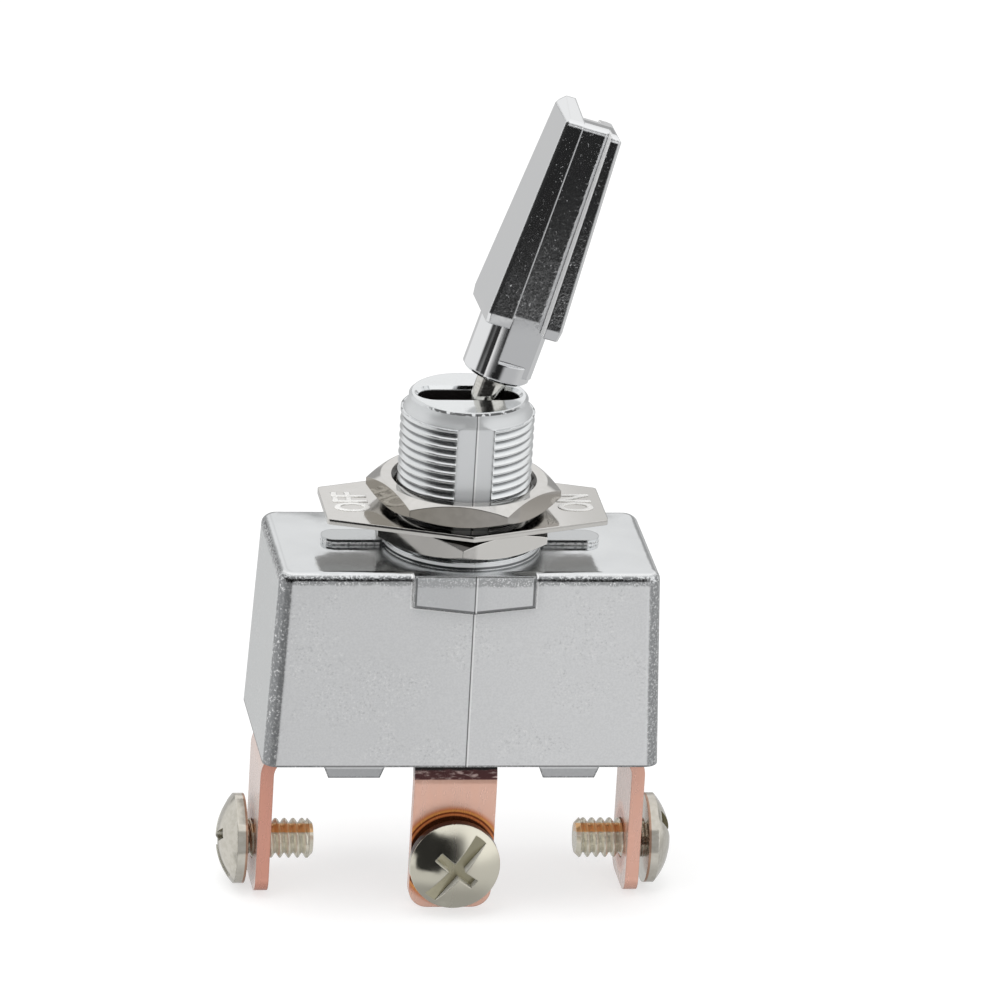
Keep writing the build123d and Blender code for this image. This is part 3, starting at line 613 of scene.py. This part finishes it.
# Threads: the plain cylinders of the CAD nodes are replaced by helical ones

def thread_depth(turn):
    """How much of the thread stands at a part of one pitch: a rounded crest and a narrow groove."""
    return (0.5 + 0.5 * math.cos(2 * math.pi * turn)) ** 0.75


def dressed_copy(name, source, unwanted, points, quads, slot, body):
    """A copy of a CAD node without some of its faces and with a thread in their place."""
    mesh = source.data
    corners = [vertex.co.copy() for vertex in mesh.vertices]
    faces = []
    for face in mesh.polygons:
        if not unwanted([corners[index] for index in face.vertices]):
            faces.append(tuple(face.vertices))
    first = len(corners)
    corners += points
    faces += [tuple(first + index for index in quad) for quad in quads]
    made = bpy.data.meshes.new(name)
    made.from_pydata(corners, [], faces)
    work = bmesh.new()
    work.from_mesh(made)
    bmesh.ops.remove_doubles(work, verts=work.verts, dist=0.002 * MM)
    loose = [vertex for vertex in work.verts if not vertex.link_faces]
    bmesh.ops.delete(work, geom=loose, context="VERTS")
    work.to_mesh(made)
    work.free()
    made.shade_smooth()
    made.set_sharp_from_angle(angle=math.radians(28))
    made.materials.append(finishes[slot])
    piece = bpy.data.objects.new(name, made)
    scene.collection.objects.link(piece)
    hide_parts(source.name.split(".")[0])
    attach(piece, body)


def grid(columns, rows, closed, point):
    """Points and quads of a grid that may close round on itself."""
    wide = columns if closed else columns + 1
    points = [point(column, row) for row in range(rows + 1) for column in range(wide)]
    quads = []
    for row in range(rows):
        for column in range(columns):
            right = (column + 1) % wide
            low, high = row * wide, (row + 1) * wide
            quads.append((low + column, low + right, high + right, high + column))
    return points, quads


def thread_housing():
    """The bushing's thread: two helical arcs that end at the flats in front and behind."""
    crest, root, bottom, top = THREAD_RADIUS, 5.58, BOSS_TOP, THREAD_TOP
    half_flat, flat = 1.65, 5.5
    foot_fade, top_fade = 0.3, 0.35
    rows_to_a_pitch, columns = 12, 72
    rows = round((top - bottom) / THREAD_PITCH * rows_to_a_pitch)
    limit = math.acos(half_flat / crest)
    points, quads = [], []
    for side in (1, -1):
        def surface(column, row):
            angle = -limit + 2 * limit * column / columns
            if side < 0:
                angle += math.pi
            height = bottom + (top - bottom) * row / rows
            fade = min(1.0, (height - bottom) / foot_fade, (top - height) / top_fade)
            wave = thread_depth(height / THREAD_PITCH - angle / (2 * math.pi))
            radius = crest - (crest - root) * (1 - wave) * max(fade, 0.0)
            x, y = radius * math.cos(angle), radius * math.sin(angle)
            if column in (0, columns):
                x = math.copysign(half_flat, x)
                y = math.copysign(math.sqrt(radius ** 2 - half_flat ** 2), y)
            return Vector((x, y, height)) * MM
        found, made = grid(columns, rows, False, surface)
        start = len(points)
        points += found
        quads += [tuple(start + index for index in quad) for quad in made]
        for edge in (0, columns):
            wall = len(points)
            for row in range(rows + 1):
                inner = found[row * (columns + 1) + edge]
                points.append(inner.copy())
                points.append(Vector((inner.x, math.copysign(flat * MM, inner.y), inner.z)))
            quads += [(wall + 2 * row, wall + 2 * row + 1, wall + 2 * row + 3, wall + 2 * row + 2)
                      for row in range(rows)]

    def unwanted(face):
        local = [corner / MM for corner in face]
        inside = all(bottom - NEAR < corner.z < top + NEAR for corner in local)
        on_thread = all(abs(math.hypot(corner.x, corner.y) - crest) < NEAR for corner in local)
        on_wall = all(abs(abs(corner.x) - half_flat) < NEAR and abs(corner.y) > flat - NEAR
                      for corner in local)
        upright = max(corner.z for corner in local) - min(corner.z for corner in local) > 0.1
        return inside and upright and (on_thread or on_wall)

    dressed_copy("threaded_housing", cad["housing"], unwanted, points, quads, "zinc_casting", "body")


def thread_screw(node_name, seat, axis, body):
    """A terminal screw with its thread; seat is under the head and axis points to the head."""
    crest, root, length = 1.8, 1.34, 5.8
    head_fade, tip_fade = 0.2, 0.25
    rows_to_a_pitch, columns = 14, 48
    rows = round(length / THREAD_PITCH * rows_to_a_pitch)
    turn = axis.to_track_quat("Z", "Y").to_matrix()

    def surface(column, row):
        angle = 2 * math.pi * column / columns
        height = -length * row / rows
        fade = max(0.0, min(1.0, -height / head_fade, (height + length) / tip_fade))
        wave = thread_depth(height / THREAD_PITCH - angle / (2 * math.pi))
        radius = crest - (crest - root) * (1 - wave) * fade
        return (seat + turn @ Vector((radius * math.cos(angle), radius * math.sin(angle), height))) * MM

    def unwanted(face):
        back = turn.transposed()
        local = [back @ (corner / MM - seat) for corner in face]
        on_shank = all(abs(math.hypot(corner.x, corner.y) - crest) < NEAR for corner in local)
        upright = max(corner.z for corner in local) - min(corner.z for corner in local) > 0.5
        return on_shank and upright and all(-length - NEAR < corner.z < NEAR for corner in local)

    points, quads = grid(columns, rows, True, surface)
    dressed_copy("threaded_" + node_name, cad[node_name], unwanted, points, quads, "nickel_screw", body)


thread_housing()
thread_screw("left_screw", Vector((-SIDE_SCREW_SEAT, 0, SIDE_SCREW_HEIGHT)), Vector((-1, 0, 0)), "left_screw")
thread_screw("right_screw", Vector((SIDE_SCREW_SEAT, 0, SIDE_SCREW_HEIGHT)), Vector((1, 0, 0)), "right_screw")
thread_screw("middle_screw", Vector((0, -MIDDLE_SCREW_SEAT, MIDDLE_SCREW_HEIGHT)), Vector((0, -1, 0)),
             "middle_screw")


# Stamped words on the legend plate

def stamped_word(name, word, x):
    """A generic position word in narrow capitals, raised a little on the plate's upper face."""
    height, y, sunk = 4.3 * MM, 0.2 * MM, 0.03 * MM
    curve = bpy.data.curves.new(name + "_curve", "FONT")
    curve.body = word
    curve.size = height
    curve.align_x = "CENTER"
    curve.align_y = "CENTER"
    curve.extrude = 0.04 * MM
    curve.offset = 0.03 * MM
    curve.bevel_depth = 0.07 * MM
    curve.bevel_resolution = 2
    text = bpy.data.objects.new(name + "_curve", curve)
    scene.collection.objects.link(text)
    mesh = bpy.data.meshes.new_from_object(text)
    bpy.data.objects.remove(text)
    piece = bpy.data.objects.new(name, mesh)
    piece.location = (x * MM, y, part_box("legend_plate")[1][2] - sunk)
    piece.rotation_euler = (0, 0, math.radians(90))
    piece.scale = (0.62, 1.0, 1.0)
    scene.collection.objects.link(piece)
    mesh.materials.clear()
    mesh.materials.append(letter_finish)
    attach(piece, "body")


letter_finish = metal("raised_letters", linear(250, 249, 247), linear(236, 235, 232), 0.28, metallic=0.35)
stamped_word("word_off", "OFF", -9.8)
stamped_word("word_on", "ON", 10.2)


# Studio: a pale floor, soft lamps, and a dome that only reflections see

def dome_strength(tree):
    """White all round, with the dark and grey cards of a studio. Azimuth is from the front towards +X."""
    place = node(tree, "ShaderNodeTexCoord").outputs["Object"]
    aim = node(tree, "ShaderNodeVectorMath", {0: place}, operation="NORMALIZE").outputs[0]
    across, back, up = axes(tree, aim)
    azimuth = maths(tree, "DEGREES", maths(tree, "ARCTAN2", across, product(tree, back, -1.0)))
    height = maths(tree, "DEGREES", maths(tree, "ARCSINE", up))
    round_back = absolute(tree, azimuth)

    def within(value, low, high, soft):
        return product(tree, ramp(tree, value, low - soft, low + soft),
                       ramp(tree, value, high + soft, high - soft))

    # Each card: what it is measured by, its start, end and softness across, its low, high and softness in
    # height, all in degrees, and its strength. A later card covers those before it.
    strength = 0.6
    cards = (
        (round_back, -1, 181, 8, -8, 91, 8, 0.92),
        (round_back, 120, 181, 4, -90, 0, 4, 0.60),
        (round_back, 120, 181, 2, 0, 16, 2, 0.40),
        (azimuth, -150, -65, 5, -90, 91, 5, 0.85),
        (azimuth, 25, 100, 4, -5, 50, 4, 1.05),
        (round_back, -1, 100, 3, -91, -20, 3, 0.60),
        (round_back, -1, 181, 10, -91, -48, 10, 0.36),
        (azimuth, -62, -18, 3, -25, 40, 3, 0.03),
        (azimuth, -80, -55, 4, -3, 40, 3, 0.03),
        (azimuth, -26, 22, 5, -18.5, 39, 2, 0.02),
        (round_back, -1, 181, 4, 52, 91, 4, 1.0),
    )
    for angle, start, end, side_soft, low, high, soft, value in cards:
        mask = product(tree, within(angle, start, end, side_soft), within(height, low, high, soft))
        strength = mix(tree, mask, strength, value)
    return strength


def reflection_dome():
    """A large dome round the set that only mirror reflections see."""
    mesh = bpy.data.meshes.new("reflection_dome")
    work = bmesh.new()
    bmesh.ops.create_uvsphere(work, u_segments=48, v_segments=24, radius=6.0)
    work.to_mesh(mesh)
    work.free()
    material, tree = bare_material("dome_light")
    glow = node(tree, "ShaderNodeEmission", {"Color": WHITE, "Strength": dome_strength(tree)})
    output = tree.nodes.new("ShaderNodeOutputMaterial")
    tree.links.new(glow.outputs[0], output.inputs[0])
    material.cycles.emission_sampling = "NONE"
    mesh.materials.append(material)
    dome = bpy.data.objects.new("reflection_dome", mesh)
    scene.collection.objects.link(dome)
    dome.visible_camera = False
    dome.visible_diffuse = False
    dome.visible_shadow = False
    dome.visible_transmission = False
    dome.visible_volume_scatter = False


def floor():
    """A pale floor under the terminals that shows white, with the object's shadow on it."""
    mesh = bpy.data.meshes.new("floor")
    reach = 3.0
    height = cad_box[0][2] - 0.05 * MM
    ends = ((-reach, -reach), (reach, -reach), (reach, reach), (-reach, reach))
    corners = [(x, y, height) for x, y in ends]
    mesh.from_pydata(corners, [], [(0, 1, 2, 3)])
    material, tree = bare_material("floor_paper")
    paths = node(tree, "ShaderNodeLightPath")
    place = node(tree, "ShaderNodeTexCoord").outputs["Object"]
    paper = blend(tree, noise(tree, place, 900.0, 4.0), (0.44, 0.44, 0.44, 1.0), (0.46, 0.46, 0.46, 1.0))
    tone = blend(tree, paths.outputs["Is Camera Ray"], (0.75, 0.75, 0.75, 1.0), paper)
    matt = node(tree, "ShaderNodeBsdfDiffuse", {"Color": tone})
    strength = product(tree, paths.outputs["Is Camera Ray"], 0.62)
    glow = node(tree, "ShaderNodeEmission", {"Color": WHITE, "Strength": strength})
    both = node(tree, "ShaderNodeAddShader", {0: matt.outputs[0], 1: glow.outputs[0]})
    output = tree.nodes.new("ShaderNodeOutputMaterial")
    tree.links.new(both.outputs[0], output.inputs[0])
    material.cycles.emission_sampling = "NONE"
    mesh.materials.append(material)
    ground = bpy.data.objects.new("floor", mesh)
    scene.collection.objects.link(ground)
    ground.visible_glossy = False


def world():
    """A white surround for the camera and for reflections, and plain soft light for everything else."""
    made = bpy.data.worlds.new("studio")
    scene.world = made
    made.use_nodes = True
    tree = made.node_tree
    tree.nodes.clear()
    paths = node(tree, "ShaderNodeLightPath")
    kinds = ("Is Camera Ray", "Is Glossy Ray", "Is Transmission Ray")
    seen = largest(tree, *(paths.outputs[kind] for kind in kinds))
    strength = ramp(tree, seen, 0.0, 1.0, 0.62, 1.0)
    background = node(tree, "ShaderNodeBackground", {"Color": WHITE, "Strength": strength})
    output = tree.nodes.new("ShaderNodeOutputWorld")
    tree.links.new(background.outputs[0], output.inputs[0])


def lamp(name, place, size, energy):
    """A soft square lamp aimed at the object, which reflections don't see."""
    light = bpy.data.lights.new(name, "AREA")
    light.size = size
    light.energy = energy
    made = bpy.data.objects.new(name, light)
    made.location = place
    made.rotation_euler = (-Vector(place)).to_track_quat("-Z", "Y").to_euler()
    made.visible_glossy = False
    scene.collection.objects.link(made)


def camera():
    """The photograph's viewpoint: from the front, a little to the left and above, through a long lens."""
    azimuth, elevation, roll = (math.radians(angle) for angle in (-9.024, 20.856, 3.409))
    back = Vector((math.sin(azimuth) * math.cos(elevation), -math.cos(azimuth) * math.cos(elevation),
                   math.sin(elevation)))
    right = Vector((math.cos(azimuth), math.sin(azimuth), 0))
    up = back.cross(right)
    shift_right, shift_up, distance = 3.296, 3.898, 856.18
    spot = (right * shift_right + up * shift_up + back * distance) * MM
    rolled_right = right * math.cos(roll) + up * math.sin(roll)
    rolled_up = up * math.cos(roll) - right * math.sin(roll)
    turn = Matrix((rolled_right, rolled_up, back)).transposed()
    eye = bpy.data.cameras.new("camera")
    eye.lens = 347.58
    eye.sensor_width = 36.0
    eye.clip_start = 0.05
    eye.clip_end = 20.0
    made = bpy.data.objects.new("camera", eye)
    made.matrix_world = Matrix.Translation(spot) @ turn.to_4x4()
    scene.collection.objects.link(made)
    scene.camera = made


reflection_dome()
floor()
world()
lamp("overhead", (-0.15, -0.1, 0.9), 0.7, 4.2)
lamp("left_fill", (-0.8, -0.45, 0.35), 0.5, 1.9)
lamp("front_fill", (0.35, -0.9, 0.3), 0.5, 1.6)
camera()
scene.view_settings.view_transform = "Standard"
